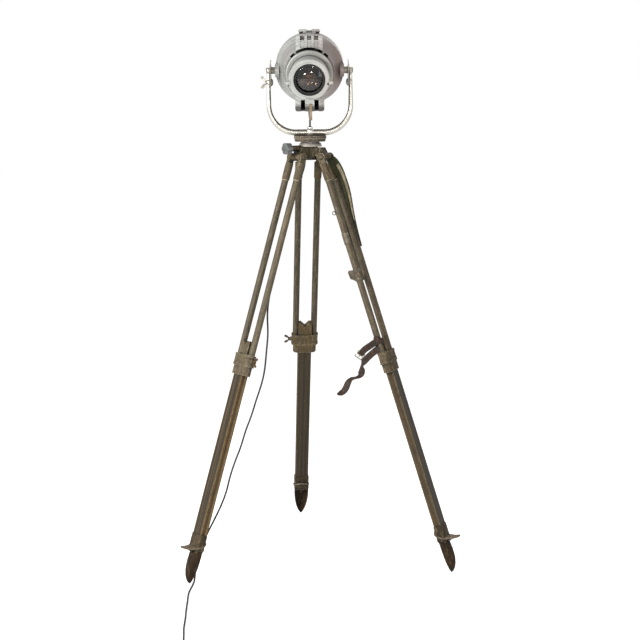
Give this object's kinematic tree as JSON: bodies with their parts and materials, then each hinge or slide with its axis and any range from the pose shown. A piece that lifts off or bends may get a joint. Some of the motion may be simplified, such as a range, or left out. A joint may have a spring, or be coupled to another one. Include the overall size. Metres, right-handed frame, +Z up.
{
  "type": "tripod spotlight floor lamp",
  "caption": "Theatre-style spotlight in a tilting yoke that pans on a folding tripod with telescopic twin-tube legs, clamp screws, pointed shoes and a plug-in lead.",
  "frame": {"origin": "point on the floor under the pan axis", "axes": "+Z up along the pan axis, the lamp faces -Y, +X to the right as seen from the front; the back leg points 6 degrees to the left of +Y"},
  "size_m": [0.934, 1.5009, 1.7958],
  "materials": {
    "cast_aluminium": "brushed, lightly aged",
    "rim_metal": "satin cast",
    "black_metal": "matt black",
    "polished_steel": "polished, yellowed",
    "dull_steel": "worn",
    "olive_paint": "worn olive drab",
    "brown_casting": "brown, rubbed",
    "grey_casting": "dull grey",
    "olive_casting": "worn, pale edges",
    "shoe_steel": "dark, rubbed bright in patches",
    "brass": "tarnished",
    "lens_glass": "clear",
    "bulb_glass": "clear",
    "mirror": "polished",
    "porcelain": "glazed white",
    "black_rubber": "matt",
    "plug_black": "matt black",
    "dark_leather": "old, dark brown",
    "green_webbing": "worn dark green"
  },
  "bodies": {
    "tripod_head": {"crown": "olive_casting", "leg_hinge_pins": "olive_casting", "collar": "grey_casting"},
    "pan_lock": {"pan_lock_spindle": "dull_steel", "star_knob": "grey_casting"},
    "pan_head": {"turntable_disc": "brown_casting", "pan_spigot": "dull_steel", "yoke": "polished_steel", "yoke_nut": "polished_steel", "tilt_lock_bolts": "polished_steel", "lamp_lead": "black_rubber"},
    "tilt_lock": {"tilt_wing_nut": "polished_steel"},
    "spotlight": {"lamp_housing": "cast_aluminium", "gate_flange": "rim_metal", "gate_plate": "black_metal", "lens_sleeve": "rim_metal", "quadrant_plates": "dull_steel", "trunnion_spacers": "dull_steel", "trunnion_bolts": "polished_steel", "cover_pin": "dull_steel", "lamp_tray": "dull_steel", "lampholder": "porcelain", "bulb": "bulb_glass", "reflector": "mirror", "cord_gland": "black_rubber", "lead_clip": "brass"},
    "lens_carriage": {"lens_tube": "rim_metal", "lens": "lens_glass", "lens_ring": "black_metal"},
    "focus_lock": {"focus_screw": "brass"},
    "rear_door": {"rear_cover": "cast_aluminium"},
    "door_lock": {"cover_screw": "brass"},
    "leg_upper_left": {"leg_sockets_left": "olive_casting", "leg_tubes_left": "olive_paint", "clamp_casting_left": "olive_casting", "stand_lead": "black_rubber", "lead_coil": "black_rubber", "plug": "plug_black"},
    "leg_lower_left": {"lower_bar_left": "olive_paint", "bar_guide_left": "olive_casting", "shoe_left": "shoe_steel"},
    "clamp_lock_left": {"clamp_screw_left": "brass"},
    "leg_upper_back": {"leg_sockets_back": "olive_casting", "leg_tubes_back": "olive_paint", "clamp_casting_back": "olive_casting"},
    "leg_lower_back": {"lower_bar_back": "olive_paint", "bar_guide_back": "olive_casting", "shoe_back": "shoe_steel"},
    "clamp_lock_back": {"clamp_screw_back": "brass"},
    "leg_upper_right": {"leg_sockets_right": "olive_casting", "leg_tubes_right": "olive_paint", "clamp_casting_right": "olive_casting", "leather_strap": "dark_leather", "strap_buckle": "dull_steel", "webbing_sling": "green_webbing", "sling_fittings": "dull_steel"},
    "leg_lower_right": {"lower_bar_right": "olive_paint", "bar_guide_right": "olive_casting", "shoe_right": "shoe_steel"},
    "clamp_lock_right": {"clamp_screw_right": "brass"}
  },
  "joints": [
    {"name": "leg_fold_left", "type": "hinge", "parent": "tripod_head", "child": "leg_upper_left", "pos_m": [-0.0445, -0.03233, 1.37618], "axis": [0.5878, -0.809, 0], "range_deg": [0, 18.4], "deforming": ["stand_lead"]},
    {"name": "leg_slide_left", "type": "slide", "parent": "leg_upper_left", "child": "leg_lower_left", "axis": [0.2554, 0.1855, 0.9489], "range_m": [0, 0.53]},
    {"name": "clamp_screw_turn_left", "type": "hinge", "parent": "leg_upper_left", "child": "clamp_lock_left", "pos_m": [-0.18645, -0.20963, 0.71766], "axis": [0.5878, -0.809, 0], "range_deg": [0, 720]},
    {"name": "leg_fold_back", "type": "hinge", "parent": "tripod_head", "child": "leg_upper_back", "pos_m": [-0.00575, 0.0547, 1.37618], "axis": [-0.9945, -0.1045, 0], "range_deg": [0, 18.4]},
    {"name": "leg_slide_back", "type": "slide", "parent": "leg_upper_back", "child": "leg_lower_back", "axis": [0.033, -0.3139, 0.9489], "range_m": [0, 0.53]},
    {"name": "clamp_screw_turn_back", "type": "hinge", "parent": "leg_upper_back", "child": "clamp_lock_back", "pos_m": [-0.08832, 0.26629, 0.71766], "axis": [-0.9945, -0.1045, 0], "range_deg": [0, 720]},
    {"name": "leg_fold_right", "type": "hinge", "parent": "tripod_head", "child": "leg_upper_right", "pos_m": [0.05024, -0.02237, 1.37618], "axis": [0.4067, 0.9135, 0], "range_deg": [0, 18.4], "deforming": ["webbing_sling", "leather_strap", "strap_buckle"]},
    {"name": "leg_slide_right", "type": "slide", "parent": "leg_upper_right", "child": "leg_lower_right", "axis": [-0.2884, 0.1284, 0.9489], "range_m": [0, 0.53]},
    {"name": "clamp_screw_turn_right", "type": "hinge", "parent": "leg_upper_right", "child": "clamp_lock_right", "pos_m": [0.27477, -0.05666, 0.71766], "axis": [0.4067, 0.9135, 0], "range_deg": [0, 720]},
    {"name": "pan", "type": "hinge", "parent": "tripod_head", "child": "pan_head", "pos_m": [0, 0, 1.42618], "axis": [0, 0, 1], "range_deg": [-170, 170]},
    {"name": "pan_lock_turn", "type": "hinge", "parent": "tripod_head", "child": "pan_lock", "pos_m": [-0.07281, -0.0529, 1.40468], "axis": [-0.809, -0.5878, 0], "range_deg": [0, 720]},
    {"name": "tilt", "type": "hinge", "parent": "pan_head", "child": "spotlight", "pos_m": [0, 0, 1.66048], "axis": [1, 0, 0], "range_deg": [-60, 45], "deforming": ["lamp_lead"]},
    {"name": "tilt_wing_turn", "type": "hinge", "parent": "pan_head", "child": "tilt_lock", "pos_m": [-0.15, 0, 1.62148], "axis": [-1, 0, 0], "range_deg": [0, 720]},
    {"name": "focus_slide", "type": "slide", "parent": "spotlight", "child": "lens_carriage", "axis": [0, -0.9755, -0.2198], "range_m": [-0.018, 0.018]},
    {"name": "focus_screw_turn", "type": "hinge", "parent": "lens_carriage", "child": "focus_lock", "pos_m": [0, -0.08846, 1.57084], "axis": [0, 0.2198, -0.9755], "range_deg": [0, 720]},
    {"name": "rear_door_hinge", "type": "hinge", "parent": "spotlight", "child": "rear_door", "pos_m": [0, 0.04159, 1.78979], "axis": [1, 0, 0], "range_deg": [0, 95]},
    {"name": "door_screw_turn", "type": "hinge", "parent": "rear_door", "child": "door_lock", "pos_m": [0, 0.12443, 1.5814], "axis": [0, 0.9755, 0.2198], "range_deg": [0, 720]}
  ]
}
